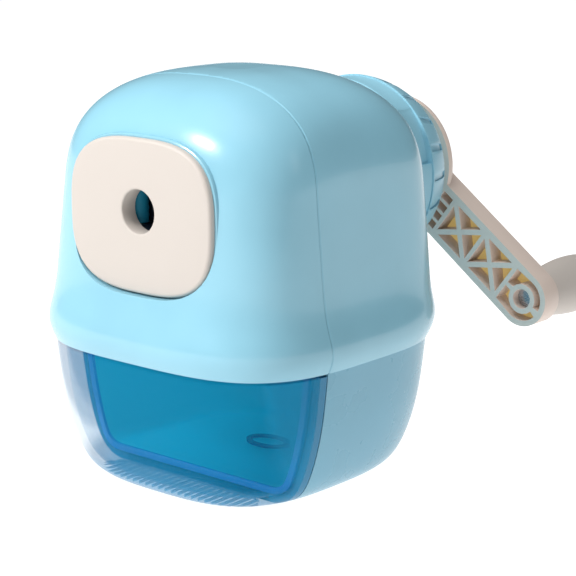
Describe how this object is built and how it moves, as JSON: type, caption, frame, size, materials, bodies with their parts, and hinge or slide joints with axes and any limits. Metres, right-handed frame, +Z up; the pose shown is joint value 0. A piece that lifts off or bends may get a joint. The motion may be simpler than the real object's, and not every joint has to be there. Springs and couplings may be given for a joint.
{
  "type": "pencil sharpener",
  "caption": "Desk pencil sharpener with a rear hand crank, helical cutter, round-cornered plastic housing, cream face plate and a clear blue shavings drawer.",
  "frame": {"origin": "centre of the body's footprint on the underside of the non-slip pad, the face it stands on", "axes": "+Z up, the pencil goes in along +Y, +X on the right of someone facing the pencil hole"},
  "size_m": [0.0928, 0.1345, 0.1019],
  "materials": {
    "body_blue": "gloss",
    "base_blue": "gloss",
    "cap_blue": "satin",
    "clear_blue": "gloss, see-through",
    "cream_plastic": "satin",
    "navy_plastic": "matte",
    "teal_rubber": "matte",
    "pad_rubber": "matte",
    "white_plastic": "matte",
    "grey_plastic": "matte",
    "steel": "brushed",
    "tool_steel": "ground",
    "brass": "satin"
  },
  "bodies": {
    "housing": {"front_housing": "body_blue", "rear_housing": "body_blue", "housing_screws": "steel", "base_tub": "base_blue", "base_screws": "steel", "non_slip_pad": "pad_rubber", "shavings_chute": "white_plastic", "face_plate": "cream_plastic", "roller_cage": "navy_plastic", "roller_pins": "steel", "mechanism_frame": "white_plastic", "ring_gear": "white_plastic"},
    "drawer": {"drawer": "clear_blue"},
    "rear_cap": {"rear_cap": "cap_blue", "cap_bush": "white_plastic"},
    "crank": {"cutter_carrier": "grey_plastic", "cutter_axle": "steel", "thrust_washer": "brass", "crank_shaft": "steel", "crank_arm": "cream_plastic", "crank_screw": "steel", "hub_cap": "cream_plastic", "knob_pin": "steel"},
    "cutter": {"helical_cutter": "tool_steel", "cutter_pinion": "tool_steel"},
    "knob": {"crank_knob": "cream_plastic", "knob_cap": "cap_blue"},
    "roller_1": {"grip_roller_1": "teal_rubber"},
    "roller_2": {"grip_roller_2": "teal_rubber"},
    "roller_3": {"grip_roller_3": "teal_rubber"}
  },
  "joints": [
    {"name": "drawer_slide", "type": "slide", "parent": "housing", "child": "drawer", "axis": [0, -1, 0], "range_m": [0, 0.045]},
    {"name": "cap_turn", "type": "hinge", "parent": "housing", "child": "rear_cap", "pos_m": [0, 0.046, 0.071], "axis": [0, 1, 0], "range_deg": [0, 30]},
    {"name": "crank_spin", "type": "hinge", "parent": "housing", "child": "crank", "pos_m": [0, 0.06, 0.071], "axis": [0, 1, 0], "continuous": true},
    {"name": "cutter_spin", "type": "hinge", "parent": "crank", "child": "cutter", "pos_m": [0.01133, -0.013, 0.071], "axis": [-0.1908, 0.9816, 0], "continuous": true},
    {"name": "knob_spin", "type": "hinge", "parent": "crank", "child": "knob", "pos_m": [0.04254, 0.08, 0.03906], "axis": [0, 1, 0], "continuous": true},
    {"name": "roller_1_spin", "type": "hinge", "parent": "housing", "child": "roller_1", "pos_m": [-0.0068, -0.0287, 0.071], "axis": [0, 0, -1], "continuous": true},
    {"name": "roller_2_spin", "type": "hinge", "parent": "housing", "child": "roller_2", "pos_m": [0.0034, -0.0287, 0.07689], "axis": [-0.866, 0, 0.5], "continuous": true},
    {"name": "roller_3_spin", "type": "hinge", "parent": "housing", "child": "roller_3", "pos_m": [0.0034, -0.0287, 0.06511], "axis": [0.866, 0, 0.5], "continuous": true}
  ],
  "couplings": [
    {"joint": "cutter_spin", "follows": "crank_spin", "ratio": -3}
  ]
}
